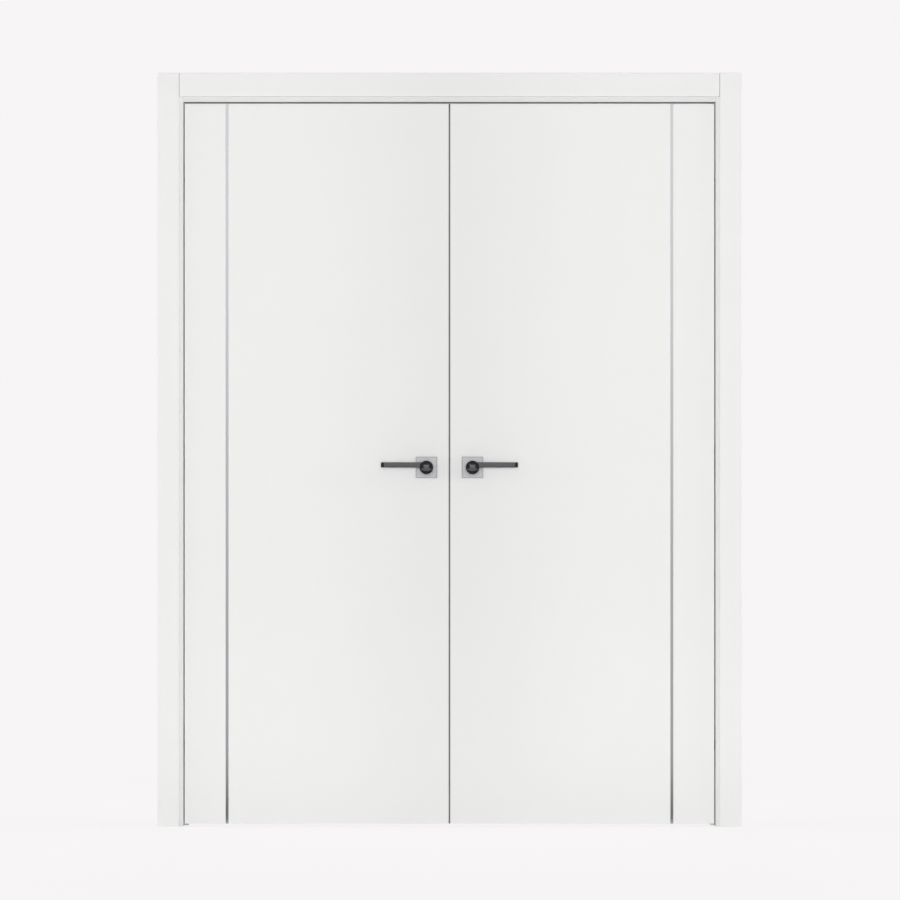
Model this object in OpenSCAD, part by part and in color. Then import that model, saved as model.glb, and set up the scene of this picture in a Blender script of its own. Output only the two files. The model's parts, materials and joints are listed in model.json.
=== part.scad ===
// Double interior door set: two flush leaves in a rebated frame with flat casings on both sides,
// concealed scissor hinges, lever handles, a mortise latch and flush bolts.
// Millimetres. X runs across the opening, Y from the front to the back, Z is up.
// The origin is on the floor, midway across the opening and midway through the overall depth.

/* [Leaves] */
// Height of each leaf
leaf_h = 2032; // [1800:1:2440]
// Width of each leaf
leaf_w = 746; // [500:1:1000]
// Thickness of each leaf
leaf_t = 40; // [38:1:52]
// Gap between the leaves and the floor
undercut = 8; // [4:1:20]
// Gap between the two meeting edges
meeting_gap = 4; // [3:0.5:6]
// Gap between a hinge edge and its jamb
side_gap = 3; // [2.5:0.5:4]
// Gap between the leaves and the head
top_gap = 6; // [2:0.5:8]
// Chamfer along the long edges of a leaf
leaf_arris = 1; // [0.5:0.25:2]

/* [Frame] */
// Thickness of the jambs and the head
jamb_t = 40; // [32:1:60]
// Depth of the jambs, which is the thickness of the wall
jamb_d = 100; // [80:1:250]
// How far the stop stands out from the rebate
stop_t = 12; // [10:1:20]
// Room for the seal between a leaf and the stop
seal_gap = 4; // [3:0.5:6]
// Diameter of the fixing holes through the jambs
fixing_d = 8; // [6:0.5:12]
// Height of the lowest fixing hole
fixing_z = 300; // [150:10:400]
// Distance between the two holes of a fixing pair
fixing_pitch = 500; // [300:10:700]

/* [Casings] */
// Strip of jamb edge left showing beside a side casing
side_reveal = 12; // [5:1:20]
// Strip of jamb edge left showing below a head casing
head_reveal = 14; // [5:1:20]
// Width of the side casings
side_casing_w = 61; // [50:1:120]
// Height of the head casings
head_casing_h = 67; // [50:1:150]
// Thickness of the casings
casing_t = 12; // [9:1:25]
// Open joint between a head casing and the side casings
casing_joint = 0.8; // [0.2:0.2:3]
// Radius of the casing edges
casing_round = 1.5; // [1:0.5:4]
// Thickness of the tongue that locates a casing in the frame
tongue_t = 5; // [3:0.5:8]
// Depth of that tongue
tongue_d = 10; // [6:1:15]

/* [Inlays] */
// Width of the metal inlay
inlay_w = 8; // [4:0.5:15]
// Depth of the metal inlay
inlay_t = 1.5; // [1:0.25:3]
// Middle of the inlay, from the hinge edge
inlay_set = 120; // [60:1:250]

/* [Hinges] */
// Height of a hinge
hinge_h = 120; // [100:1:160]
// Middle of the outer hinges, from the ends of the leaf
hinge_end = 220; // [150:1:350]
// Leaf material left in front of and behind a hinge
hinge_skin = 4; // [3:0.5:6]
// Distance of the pivot pins from the middle of the gap
hinge_pivot = 5.6; // [5:0.1:6.5]
// Reach of a guide peg into the opposite housing, from the middle of the gap
hinge_reach = 15; // [14:0.5:20]
// Thickness of a hinge link
link_t = 12.6; // [8:0.2:16]
// Width of a hinge link between its eyes
link_w = 5; // [4:0.25:6]
// Diameter of the eyes of a hinge link
link_eye_d = 6.4; // [6.2:0.1:7.5]
// Diameter of the hinge pins
hinge_pin_d = 4; // [3:0.25:4]
// Widest opening angle of a leaf
leaf_swing = 95; // [80:1:95]

/* [Handles] */
// Height of the spindles above the floor
handle_z = 1014; // [850:1:1200]
// Distance of a spindle from the meeting edge
backset = 63; // [50:1:80]
// Side of the square rose
rose_w = 60; // [50:1:70]
// Thickness of the rose
rose_t = 9; // [7:0.5:14]
// Bevel round the front of the rose
rose_bevel = 1.2; // [0.5:0.1:3]
// How far the handle stands out from the leaf
lever_projection = 58; // [50:1:75]
// Distance from the spindle to the tip of the lever
lever_len = 128; // [100:1:150]
// Height of the lever bar
lever_h = 15; // [12:0.5:18]
// Thickness of the lever bar
lever_t = 10; // [8:0.5:14]
// Height of the middle of the lever bar above the spindle
lever_raise = 7; // [0:0.5:9]
// Radius of the edges of the lever bar
lever_round = 3; // [1:0.5:3.5]
// Diameter of the drum at the end of the neck
hub_d = 38; // [34:1:44]
// Thickness of the drum
hub_t = 16; // [15:0.5:20]
// Rise of the drum's domed front
hub_dome = 6; // [3:0.5:8]
// Diameter of the seat for a cap in the middle of the dome
hub_cap_d = 14; // [10:1:18]
// Diameter of the neck
neck_d = 22; // [18:1:26]
// Angle by which the tip turns back to the leaf
tip_turn = 50; // [20:5:80]
// Radius of that turn, at the middle of the bar
tip_radius = 12; // [8:1:20]
// Side of the square spindle
spindle_w = 8; // [7:0.5:9]

/* [Lock and bolts] */
// Thickness of the lock case
lock_t = 15; // [13:0.5:18]
// Depth of the lock case behind the faceplate
lock_d = 90; // [85:1:110]
// Height of the lock case above the spindle
lock_above = 60; // [50:1:80]
// Height of the lock case below the spindle
lock_below = 105; // [60:1:140]
// Width of the faceplate and the bolt plates
plate_w = 20; // [16:1:24]
// Thickness of the faceplate and the bolt plates
plate_t = 3; // [2:0.5:4]
// How far the latch shoots
latch_throw = 9; // [7:0.5:12]
// Diameter of the flush bolts
bolt_d = 12; // [8:0.5:14]
// How far the flush bolts shoot
bolt_throw = 16; // [10:1:25]
// Length of a flush bolt
bolt_len = 280; // [200:10:500]

/* [Screws] */
// Diameter of the countersunk screw heads in hinges and plates
screw_head_d = 8; // [6:0.5:9]
// Diameter of the screws
screw_d = 4; // [3:0.5:5]

/* [Hidden] */
$fn = 48;

// Sides and faces
left = -1;
right = 1;
front = -1;
rear = 1;

// Colours
paint = "#F1F1F0";
strip_metal = "#C6C7C9";
bright_metal = "#8C8D90";
plated_steel = "#B9BABC";
seal_grey = "#D4D4D1";
fin_grey = "#4A4A49";

// Clearances
cut = 1;            // how far a cut runs past a face
joinery_fit = 0.1;  // between a fixed piece and its recess
running_fit = 0.05; // radial, between a pin and its bore
press_fit = 0.01;   // radial, round a pin that stays in its bore
sliding_fit = 0.3;  // round a piece that slides

// Across the opening, from the middle
leaf_in = meeting_gap / 2;
leaf_out = leaf_in + leaf_w;
jamb_in = leaf_out + side_gap;
jamb_out = jamb_in + jamb_t;
stop_in = jamb_in - stop_t;
casing_in = jamb_in + side_reveal;
casing_out = casing_in + side_casing_w;
head_casing_end = casing_in - casing_joint;
gap_x = leaf_out + side_gap / 2;
spindle_x = leaf_in + backset;
inlay_x = leaf_out - inlay_set;

// Up from the floor
leaf_top = undercut + leaf_h;
head_in = leaf_top + top_gap;
head_out = head_in + jamb_t;
head_stop = head_in - stop_t;
head_casing_z = head_in + head_reveal;
casing_top = head_casing_z + head_casing_h;
hinge_heights = [undercut + hinge_end, undercut + leaf_h / 2, leaf_top - hinge_end];

// Depths behind the front face of the leaves
rebate_d = leaf_t + seal_gap;
leaf_mid = leaf_t / 2;
fixing_v = (rebate_d + jamb_d) / 2;
depth_back = max(jamb_d + casing_t, leaf_t + lever_projection);
face_y = -(depth_back - lever_projection) / 2;

// Seal
seal_stem = 3;
seal_stem_d = 5.5;
seal_foot_w = 7;
seal_foot_t = 1;
seal_clear = 0.3;
seal_bulb_sink = 0.5;
seal_bulb_r = (seal_gap - seal_clear - seal_foot_t + seal_bulb_sink) / 2;
seal_x = stop_in + stop_t / 2;
seal_z = head_stop + stop_t / 2;

// Seals in the meeting edges
meeting_seal_t = 3;
meeting_seal_d = 4;
meeting_seal_v = 3.5;
meeting_seal_clear = 0.3;
meeting_seal_out = (meeting_gap - meeting_seal_clear) / 2;

// Casing tongue, midway between the casing's inner edge and the back of the jamb
tongue_x = (casing_in + jamb_out) / 2;
tongue_z = (head_casing_z + head_out) / 2;

// Hinge: both links turn on pins in the housings and cross at a centre pin. Seen along the pins,
// the pivot is as far from the leaf's turning axis as from the centre pin, so the centre pin stays
// midway between jamb and leaf while each link turns through the same angle as the leaf.
hinge_wall = 1.5;
link_room = 0.5;
guide_v = leaf_t - hinge_skin - hinge_wall - link_room - link_eye_d / 2;
cross_rise = 3;
cross_v = guide_v - cross_rise;
pivot_v = cross_v / 2;
cross_arm = sqrt(pow(hinge_pivot, 2) + pow(pivot_v, 2));
cross_angle = atan2(pivot_v, hinge_pivot);
housing_w = leaf_t - 2 * hinge_skin;
pocket_w = housing_w - 2 * hinge_wall;
link_gap = 0.4;
pocket_h = 2 * (link_gap + link_t + link_room);
pocket_d = hinge_reach + link_eye_d / 2 + link_room - side_gap / 2;
housing_floor = 2.5;
housing_d = pocket_d + housing_floor;
cheek_t = 9.5;
housing_core_h = pocket_h + 2 * cheek_t;
flange_d = 8;
pin_cover = 2.4;
pin_top = housing_core_h / 2 - pin_cover;
pivot_at = [hinge_pivot, pivot_v];
cross_at = [0, cross_v];
guide_at = [-hinge_reach, guide_v];
peg_len = 7;
peg_room = 0.4;

// Handle
hub_rim = 2.5;
hub_cap_seat = 1;
hub_cap_edge = 1;
hub_flat_r = hub_cap_d / 2 + hub_cap_edge;
hub_dome_below = (pow(hub_d / 2, 2) - pow(hub_flat_r, 2) - pow(hub_dome, 2)) / (2 * hub_dome);
hub_dome_r = norm([hub_d / 2, hub_dome_below]);
hub_dome_out = lever_projection - hub_dome - hub_dome_below;
bar_set = 0.5; // how far the bar's face lies behind the dome's edge
bar_out = lever_projection - hub_dome - bar_set - lever_t / 2;
bar_end = lever_len - (tip_radius + lever_t / 2) * sin(tip_turn);
neck_in = 1;
rose_wall = 1.5;
rose_base_w = rose_w - 2 * rose_wall - 2 * joinery_fit;
rose_base_t = rose_t - rose_wall - joinery_fit;
bearing_wall = 1.6;
spring_wire = 1.5;
spring_r = neck_d / 2 + bearing_wall + spring_wire;
spring_room = 4.5;
spring_turns = [0.5, 1.4]; // middle of each turn, in wire thicknesses from the groove's floor
socket_d = 32;
spindle_len = leaf_t + 2 * socket_d;
rose_bolt_x = 19;
rose_bolt_d = 4;
rose_bolt_head_d = 7;
rose_bolt_head_t = 2.5;
spindle_bore_d = 18;

// Lock
lock_wall = 1.5;
lock_x = leaf_in + plate_t;
lock_end_margin = 35;
lock_low = handle_z - lock_below;
lock_h = lock_below + lock_above;
plate_low = lock_low - lock_end_margin;
plate_h = lock_h + 2 * lock_end_margin;
follower_d = 16;
follower_cam_w = 6;
follower_cam_h = 18;
latch_rise = 32;
latch_h = 18;
latch_t = 10;
latch_len = 34;
latch_set_back = 0.5;
latch_nose = 1.5;
latch_z = handle_z + latch_rise;
keep_plate_h = 90;
keep_cup_wall = 1.5;
keep_cup_d = latch_throw + 4;

// Flush bolts
bolt_in = 16;
bolt_plate_h = 150;
bolt_tip_back = 1;
bolt_x = leaf_in + bolt_in;
thumb_w = 8;
thumb_h = 14;
thumb_back = 0.5;
thumb_from_end = 20;
thumb_down = bolt_len - thumb_from_end;
bolt_plate_low = -thumb_down - bolt_plate_h / 2;
bolt_bore_d = bolt_d + 2 * sliding_fit;
bolt_keep_w = 44;
bolt_keep_t = 2.5;
bolt_keep_bore_deep = 24;

// Screws
screw_sink = (screw_head_d - screw_d) / 2;
hinge_screw_end = 11;
hinge_screw_pitch = 15;
hinge_screw_z = hinge_h / 2 - hinge_screw_end;
plate_screw_end = 13;
bolt_keep_screw_x = 15;

// Placing

// Everything is drawn with Y measured from the front face of the leaves.
module set_depth() translate([0, face_y, 0]) children();

// Pieces are drawn on the right; the left ones are their mirror images.
module on_side(side) {
    if (side == left) mirror([1, 0, 0]) children();
    else children();
}

// Handle pieces are drawn on the front face; the rear ones face the other way.
module on_face(face) {
    if (face == rear) translate([0, leaf_t, 0]) mirror([0, 1, 0]) children();
    else children();
}

module at_spindle() translate([spindle_x, 0, handle_z]) children();

module at_hinges() for (z = hinge_heights) translate([gap_x, 0, z]) children();

// Turns a hinge piece of the frame into its opposite in the leaf.
module opposite() mirror([1, 0, 0]) mirror([0, 0, 1]) children();

// Outlines

module eased_rect(low, high, ease) {
    polygon([
        [low[0] + ease, low[1]], [high[0] - ease, low[1]],
        [high[0], low[1] + ease], [high[0], high[1] - ease],
        [high[0] - ease, high[1]], [low[0] + ease, high[1]],
        [low[0], high[1] - ease], [low[0], low[1] + ease]
    ]);
}

module round_rect(w, h, r) {
    square([w - 2 * r, h], center = true);
    square([w, h - 2 * r], center = true);
    for (x = [-1, 1], y = [-1, 1])
        translate([x * (w / 2 - r), y * (h / 2 - r)]) circle(r);
}

module stadium(w, h) {
    square([w, h - w], center = true);
    for (end = [-1, 1]) translate([0, end * (h - w) / 2]) circle(d = w);
}

// A straight bar from one point to another
module link_bar(a, b, w) {
    span = b - a;
    translate(a) rotate(atan2(span[1], span[0])) translate([0, -w / 2]) square([norm(span), w]);
}

// A vertical outline seen along X, drawn as depth and height, run from x0 to x1
module run_across(x0, x1)
    translate([x0, 0, 0]) rotate([90, 0, 90]) linear_extrude(x1 - x0) children();

// Seat of a countersunk screw in a face at the origin, cut along Z
module screw_seat(deep) {
    translate([0, 0, -cut]) cylinder(d = screw_d + 2 * joinery_fit, h = deep + 2 * cut);
    cylinder(d1 = screw_head_d + 2 * joinery_fit, d2 = screw_d + 2 * joinery_fit, h = screw_sink);
}

// Frame

module casing_section(w) {
    square([w, casing_t - casing_round]);
    translate([casing_round, 0]) square([w - 2 * casing_round, casing_t]);
    for (x = [casing_round, w - casing_round])
        translate([x, casing_t - casing_round]) circle(casing_round);
}

module jamb_outline() {
    tongue_groove = tongue_t + 2 * joinery_fit;
    difference() {
        union() {
            eased_rect([jamb_in, 0], [jamb_out, jamb_d], leaf_arris);
            eased_rect([stop_in, rebate_d], [jamb_out, jamb_d], leaf_arris);
        }
        for (y = [-cut, jamb_d - tongue_d - joinery_fit])
            translate([tongue_x - tongue_groove / 2, y])
                square([tongue_groove, tongue_d + joinery_fit + cut]);
        translate([seal_x - seal_stem / 2 - joinery_fit, rebate_d - cut])
            square([seal_stem + 2 * joinery_fit, seal_stem_d + joinery_fit + cut]);
    }
}

// The head's seal groove runs on into the jamb, to meet the jamb's own groove.
module seal_corner() {
    groove_w = seal_stem + 2 * joinery_fit;
    translate([stop_in - cut, rebate_d - cut, seal_z - groove_w / 2])
        cube([seal_x + groove_w / 2 - stop_in + cut, seal_stem_d + joinery_fit + cut, groove_w]);
}

module fixing_holes() {
    for (pair = [fixing_z, head_stop - fixing_z - fixing_pitch], hole = [0, fixing_pitch])
        translate([stop_in - cut, fixing_v, pair + hole])
            rotate([0, 90, 0]) cylinder(d = fixing_d, h = jamb_t + stop_t + 2 * cut);
}

module jamb(side) color(paint) set_depth() on_side(side) difference() {
    linear_extrude(head_out) jamb_outline();
    fixing_holes();
    seal_corner();
    at_hinges() hinge_mortise();
}

module head_jamb() color(paint) set_depth() difference() {
    union() {
        translate([-jamb_in, 0, head_in]) cube([2 * jamb_in, rebate_d, jamb_t]);
        translate([-stop_in, rebate_d, head_stop])
            cube([2 * stop_in, jamb_d - rebate_d, jamb_t + stop_t]);
    }
    for (y = [-cut, jamb_d - tongue_d - joinery_fit])
        translate([-jamb_in - cut, y, tongue_z - tongue_t / 2 - joinery_fit])
            cube([2 * jamb_in + 2 * cut, tongue_d + joinery_fit + cut, tongue_t + 2 * joinery_fit]);
    translate([-stop_in - cut, rebate_d - cut, seal_z - seal_stem / 2 - joinery_fit])
        cube([2 * stop_in + 2 * cut, seal_stem_d + joinery_fit + cut, seal_stem + 2 * joinery_fit]);
    on_side(left) translate([bolt_x, leaf_mid, head_in]) {
        translate([-bolt_keep_w / 2 - joinery_fit, -plate_w / 2 - joinery_fit, -cut])
            cube([bolt_keep_w + 2 * joinery_fit, plate_w + 2 * joinery_fit, bolt_keep_t + cut]);
        cylinder(d = bolt_bore_d, h = bolt_keep_bore_deep);
    }
}

module casing_on_face(face) {
    if (face == rear) translate([0, jamb_d, 0]) children();
    else mirror([0, 1, 0]) children();
}

module side_casing(side, face) color(paint) set_depth() on_side(side) casing_on_face(face) {
    intersection() {
        translate([casing_in, 0, 0]) linear_extrude(casing_top) casing_section(side_casing_w);
        run_across(casing_in - cut, casing_out + cut) {
            square([casing_t, casing_top - casing_round]);
            square([casing_t - casing_round, casing_top]);
            translate([casing_t - casing_round, casing_top - casing_round]) circle(casing_round);
        }
    }
    translate([tongue_x - tongue_t / 2, -tongue_d, 0]) cube([tongue_t, tongue_d, head_casing_z]);
}

module head_casing(face) color(paint) set_depth() casing_on_face(face) {
    intersection() {
        run_across(-head_casing_end, head_casing_end)
            translate([0, head_casing_z]) rotate(90) mirror([0, 1]) casing_section(head_casing_h);
        translate([-head_casing_end, 0, 0]) linear_extrude(casing_top + cut)
            casing_section(2 * head_casing_end);
    }
    translate([-stop_in, -tongue_d, tongue_z - tongue_t / 2]) cube([2 * stop_in, tongue_d, tongue_t]);
}

// Seal in section: a stem in the groove, a foot on the stop and a bulb towards the leaf
module seal_section() {
    bulb_v = leaf_t + seal_clear + seal_bulb_r;
    translate([-seal_stem / 2, rebate_d - seal_foot_t]) square([seal_stem, seal_stem_d + seal_foot_t]);
    translate([-seal_foot_w / 2, rebate_d - seal_foot_t]) square([seal_foot_w, seal_foot_t]);
    translate([0, bulb_v]) circle(seal_bulb_r);
}

module frame_seal() color(seal_grey) set_depth() {
    for (side = [left, right]) on_side(side)
        translate([seal_x, 0, 0]) linear_extrude(seal_z) seal_section();
    run_across(-seal_x, seal_x) translate([0, seal_z]) rotate(90) mirror([0, 1]) seal_section();
}

// A soft fin in each meeting edge, near the front; the two all but close the gap between the leaves
module meeting_seal(side) color(fin_grey) set_depth() on_side(side)
    translate([leaf_in - meeting_seal_out, meeting_seal_v, undercut])
        cube([meeting_seal_out + meeting_seal_d, meeting_seal_t, leaf_h]);

module head_bolt_keep() color(plated_steel) set_depth() on_side(left)
    translate([bolt_x, leaf_mid, head_in]) difference() {
        translate([-bolt_keep_w / 2, -plate_w / 2, 0]) cube([bolt_keep_w, plate_w, bolt_keep_t]);
        translate([0, 0, -cut]) cylinder(d = bolt_bore_d, h = bolt_keep_t + 2 * cut);
        for (x = [-bolt_keep_screw_x, bolt_keep_screw_x]) translate([x, 0, 0]) screw_seat(bolt_keep_t);
    }

// Hinges, drawn for the right jamb with X from the middle of the gap towards the jamb

module housing_block(fit) {
    translate([side_gap / 2, leaf_mid, 0]) {
        rotate([90, 0, 90]) linear_extrude(flange_d + fit) stadium(housing_w + 2 * fit, hinge_h + 2 * fit);
        translate([0, -housing_w / 2 - fit, -housing_core_h / 2 - fit])
            cube([housing_d + fit, housing_w + 2 * fit, housing_core_h + 2 * fit]);
    }
}

module hinge_mortise() {
    housing_block(joinery_fit);
    translate([0, leaf_mid, 0]) rotate([90, 0, 90])
        linear_extrude(side_gap / 2 + cut) stadium(housing_w + 2 * joinery_fit, hinge_h + 2 * joinery_fit);
}

// Path of the opposite link's guide peg through this housing
module guide_slot() {
    slot_w = hinge_pin_d + peg_room;
    centre = [hinge_reach, guide_v] - [-hinge_pivot, pivot_v];
    translate(centre) {
        intersection() {
            difference() {
                circle(cross_arm + slot_w / 2);
                circle(cross_arm - slot_w / 2);
            }
            slot_sector();
        }
        for (turn = [0, leaf_swing])
            rotate(180 - cross_angle + turn) translate([cross_arm, 0]) circle(d = slot_w);
    }
}

module slot_sector() {
    reach = 3 * cross_arm;
    start = 180 - cross_angle;
    polygon([
        [0, 0],
        for (part = [0, 0.5, 1]) reach * [cos(start + part * leaf_swing), sin(start + part * leaf_swing)]
    ]);
}

module housing() difference() {
    housing_block(0);
    translate([side_gap / 2 - cut, leaf_mid - pocket_w / 2, -pocket_h / 2])
        cube([pocket_d + cut, pocket_w, pocket_h]);
    translate(pivot_at) cylinder(d = hinge_pin_d + 2 * press_fit, h = pin_top);
    translate([0, 0, -pocket_h / 2 - peg_len - peg_room])
        linear_extrude(peg_len + peg_room + cut) guide_slot();
    for (end = [-1, 1], step = [0, hinge_screw_pitch])
        translate([side_gap / 2, leaf_mid, end * (hinge_screw_z - step)])
            rotate([0, 90, 0]) screw_seat(flange_d);
}

module pivot_pin() translate([pivot_at[0], pivot_at[1], link_gap + link_room])
    cylinder(d = hinge_pin_d, h = pin_top - link_gap - link_room);

// A cranked link: it turns on the pivot, is crossed at the centre pin and ends in a guide peg.
module link() {
    difference() {
        translate([0, 0, link_gap]) linear_extrude(link_t) {
            link_bar(pivot_at, cross_at, link_w);
            link_bar(cross_at, guide_at, link_w);
            for (at = [pivot_at, cross_at, guide_at]) translate(at) circle(d = link_eye_d);
        }
        for (at = [pivot_at, cross_at])
            translate(at) cylinder(d = hinge_pin_d + 2 * running_fit, h = 2 * link_gap + link_t + cut);
    }
    translate([guide_at[0], guide_at[1], link_gap + link_t])
        cylinder(d = hinge_pin_d, h = link_room + peg_len);
}

module centre_pin() translate([cross_at[0], cross_at[1], -link_gap - link_t])
    cylinder(d = hinge_pin_d, h = 2 * (link_gap + link_t));

module frame_housings(side) color(plated_steel) set_depth() on_side(side) at_hinges() housing();
module leaf_housings(side) color(plated_steel) set_depth() on_side(side) at_hinges() opposite() housing();
module frame_pins(side) color(plated_steel) set_depth() on_side(side) at_hinges() pivot_pin();
module leaf_pins(side) color(plated_steel) set_depth() on_side(side) at_hinges() opposite() pivot_pin();
module frame_links(side) color(plated_steel) set_depth() on_side(side) at_hinges() link();
module leaf_links(side) color(plated_steel) set_depth() on_side(side) at_hinges() opposite() link();
module centre_pins(side) color(plated_steel) set_depth() on_side(side) at_hinges() centre_pin();

// Leaves

module inlay(side, face) color(strip_metal) set_depth() on_side(side) on_face(face)
    translate([inlay_x - inlay_w / 2, 0, undercut]) cube([inlay_w, inlay_t, leaf_h]);

// Cuts that both leaves share
module leaf_cuts() {
    groove_w = inlay_w + 2 * joinery_fit;
    for (face = [front, rear]) on_face(face)
        translate([inlay_x - groove_w / 2, -cut, undercut - cut])
            cube([groove_w, inlay_t + cut, leaf_h + 2 * cut]);
    translate([leaf_in - cut, meeting_seal_v - joinery_fit, undercut - cut])
        cube([meeting_seal_d + joinery_fit + cut, meeting_seal_t + 2 * joinery_fit, leaf_h + 2 * cut]);
    at_hinges() opposite() hinge_mortise();
    at_spindle() {
        translate([0, -cut, 0]) rotate([-90, 0, 0]) cylinder(d = spindle_bore_d, h = leaf_t + 2 * cut);
        for (x = [-rose_bolt_x, rose_bolt_x])
            translate([x, -cut, 0]) rotate([-90, 0, 0]) cylinder(d = rose_bolt_head_d, h = leaf_t + 2 * cut);
    }
}

module slab_blank() translate([0, 0, undercut]) linear_extrude(leaf_h)
    eased_rect([leaf_in, 0], [leaf_out, leaf_t], leaf_arris);

module left_slab() color(paint) set_depth() on_side(left) difference() {
    slab_blank();
    leaf_cuts();
    keep_mortise();
    bolt_end(1) bolt_cuts();
    bolt_end(-1) bolt_cuts();
}

module right_slab() color(paint) set_depth() difference() {
    slab_blank();
    leaf_cuts();
    lock_mortise();
}

// Handles, drawn on the front face of the right leaf with the spindle at the origin

module rose_cover(side, face) color(strip_metal) set_depth() on_side(side) on_face(face) at_spindle()
    difference() {
        intersection() {
            translate([0, 0, -rose_w / 2]) linear_extrude(rose_w) rose_section();
            rotate([0, 90, 0]) translate([0, 0, -rose_w / 2]) linear_extrude(rose_w) rose_section();
        }
        inside = rose_w - 2 * rose_wall;
        translate([-inside / 2, -rose_t + rose_wall, -inside / 2]) cube([inside, rose_t, inside]);
        rotate([90, 0, 0]) cylinder(d = neck_d + 2 * sliding_fit, h = rose_t + cut);
    }

module rose_section() polygon([
    [-rose_w / 2, 0], [-rose_w / 2, rose_bevel - rose_t], [rose_bevel - rose_w / 2, -rose_t],
    [rose_w / 2 - rose_bevel, -rose_t], [rose_w / 2, rose_bevel - rose_t], [rose_w / 2, 0]
]);

module rose_base(side, face) color(plated_steel) set_depth() on_side(side) on_face(face) at_spindle()
    difference() {
        translate([-rose_base_w / 2, -rose_base_t, -rose_base_w / 2])
            cube([rose_base_w, rose_base_t, rose_base_w]);
        rotate([90, 0, 0]) {
            translate([0, 0, -cut]) cylinder(d = neck_d + 2 * running_fit, h = rose_base_t + 2 * cut);
            translate([0, 0, rose_base_t - spring_room]) difference() {
                cylinder(r = spring_r + spring_wire, h = spring_room + cut);
                cylinder(r = neck_d / 2 + bearing_wall, h = spring_room + cut);
            }
            for (x = [-rose_bolt_x, rose_bolt_x]) translate([x, 0, -cut]) {
                cylinder(d = rose_bolt_d + 2 * joinery_fit, h = rose_base_t + 2 * cut);
                if (face == rear) translate([0, 0, cut + rose_base_t - rose_bolt_head_t])
                    cylinder(d = rose_bolt_head_d + 2 * joinery_fit, h = rose_bolt_head_t + cut);
            }
        }
    }

// Two turns of round wire that lie in the groove of the rose base
module rose_springs(side) color(plated_steel) set_depth() on_side(side)
    for (face = [front, rear]) on_face(face) at_spindle()
        rotate([90, 0, 0]) translate([0, 0, rose_base_t - spring_room]) rotate_extrude()
            for (turn = spring_turns) translate([spring_r, turn * spring_wire]) circle(d = spring_wire);

module rose_bolts(side) color(plated_steel) set_depth() on_side(side) at_spindle()
    for (x = [-rose_bolt_x, rose_bolt_x]) translate([x, 0, 0]) rotate([-90, 0, 0]) {
        translate([0, 0, -rose_base_t])
            cylinder(d = rose_bolt_d, h = leaf_t + 2 * rose_base_t - rose_bolt_head_t);
        translate([0, 0, leaf_t + rose_base_t - rose_bolt_head_t])
            cylinder(d = rose_bolt_head_d, h = rose_bolt_head_t);
    }

// Half section of the neck and the drum, as radius and distance out from the leaf
module hub_section() {
    back = lever_projection - hub_t;
    translate([0, neck_in]) square([neck_d / 2, back + hub_rim - neck_in]);
    translate([0, back]) square([hub_d / 2 - hub_rim, hub_t]);
    translate([0, back + hub_rim]) square([hub_d / 2, hub_t - hub_rim]);
    translate([hub_d / 2 - hub_rim, back + hub_rim]) circle(hub_rim);
}

// Turned hub: the drum's face is a dome with a round seat for the cap
module hub() {
    rotate([90, 0, 0]) difference() {
        intersection() {
            rotate_extrude() hub_section();
            union() {
                translate([0, 0, hub_dome_out]) sphere(hub_dome_r);
                cylinder(d = hub_d, h = hub_dome_out);
            }
        }
        translate([0, 0, lever_projection - hub_cap_seat])
            cylinder(d = hub_cap_d + 2 * joinery_fit, h = hub_cap_seat + cut);
    }
}

module lever_bar_section() round_rect(lever_t, lever_h, lever_round);

module lever(side, face) color(bright_metal) set_depth() on_side(side) on_face(face) at_spindle()
    difference() {
        union() {
            hub();
            translate([0, -bar_out, lever_raise]) {
                rotate([90, 0, 90]) linear_extrude(bar_end) lever_bar_section();
                translate([bar_end, tip_radius, 0]) rotate([0, 0, -90])
                    rotate_extrude(angle = tip_turn) translate([tip_radius, 0]) lever_bar_section();
            }
        }
        translate([-spindle_w / 2 - joinery_fit, -socket_d - joinery_fit, -spindle_w / 2 - joinery_fit])
            cube([spindle_w + 2 * joinery_fit, socket_d + joinery_fit, spindle_w + 2 * joinery_fit]);
    }

module spindle(side) color(plated_steel) set_depth() on_side(side) at_spindle()
    translate([-spindle_w / 2, -socket_d, -spindle_w / 2]) cube([spindle_w, spindle_len, spindle_w]);

// Lock in the right leaf

// An edge plate with round ends and two screws, let into a meeting edge, and the recess that takes it
module edge_plate(low, h) translate([leaf_in, leaf_mid, low + h / 2]) difference() {
    rotate([90, 0, 90]) linear_extrude(plate_t) stadium(plate_w, h);
    for (end = [-1, 1]) translate([0, 0, end * (h / 2 - plate_screw_end)])
        rotate([0, 90, 0]) screw_seat(plate_t);
}

module plate_recess(low, h) translate([leaf_in - cut, leaf_mid, low + h / 2])
    rotate([90, 0, 90]) linear_extrude(plate_t + cut) stadium(plate_w + 2 * joinery_fit, h + 2 * joinery_fit);

// Room for the latch to slide through, from x0 to x1
module latch_room(x0, x1) {
    room_t = latch_t + 2 * sliding_fit;
    room_h = latch_h + 2 * sliding_fit;
    translate([x0, leaf_mid - room_t / 2, latch_z - room_h / 2]) cube([x1 - x0, room_t, room_h]);
}

module lock_mortise() {
    plate_recess(plate_low, plate_h);
    translate([leaf_in, leaf_mid - lock_t / 2 - joinery_fit, lock_low - joinery_fit])
        cube([plate_t + lock_d + joinery_fit, lock_t + 2 * joinery_fit, lock_h + 2 * joinery_fit]);
}

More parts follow.
